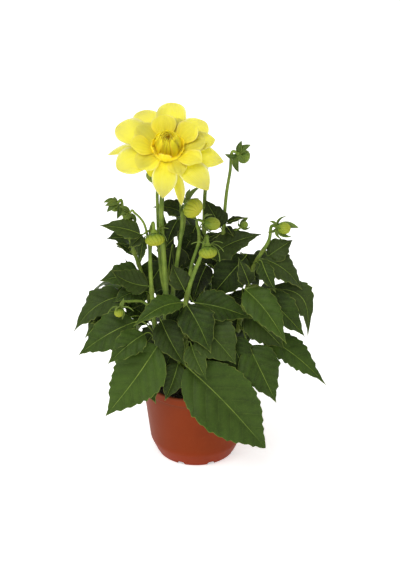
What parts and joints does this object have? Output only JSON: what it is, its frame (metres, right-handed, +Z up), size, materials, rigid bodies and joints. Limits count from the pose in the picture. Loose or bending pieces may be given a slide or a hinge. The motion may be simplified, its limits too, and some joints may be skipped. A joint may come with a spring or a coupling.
{
  "type": "potted dahlia",
  "caption": "Dahlia in a plastic nursery pot, with an open double bloom, nodding buds on tall stems and toothed leaves that hang over the rim.",
  "frame": {"origin": "centre of the pot's foot, on the surface it stands on", "axes": "+Z up along the pot's axis; -Y is the plant's front, where the bloom looks; +X is the plant's right as seen from the front"},
  "size_m": [0.2886, 0.2136, 0.4244],
  "materials": {
    "pot": "slightly glossy terracotta plastic",
    "soil": "damp crumbly potting soil",
    "plant": "soft matte leaf, a little waxy",
    "bud": "smooth closed bud",
    "petal": "matte petal",
    "bloom_centre": "matte petal"
  },
  "bodies": {
    "root": {"pot": "pot", "soil": "soil", "bloom_stem": "plant", "left_stem": "plant", "front_stem": "plant", "centre_stem": "plant", "middle_stem": "plant", "tall_stem": "plant", "back_stem": "plant", "right_stem": "plant", "bud_hidden": "bud", "bud_left": "bud", "bud_low_left": "bud", "bud_front_left": "bud", "bud_left_inner": "bud", "bud_front_centre": "bud", "bud_opening": "bud", "bud_centre": "bud", "bud_tall": "bud", "bud_small": "bud", "bud_back": "bud", "bud_right": "bud", "bloom": "petal", "bloom_centre": "bloom_centre"}
  },
  "joints": []
}
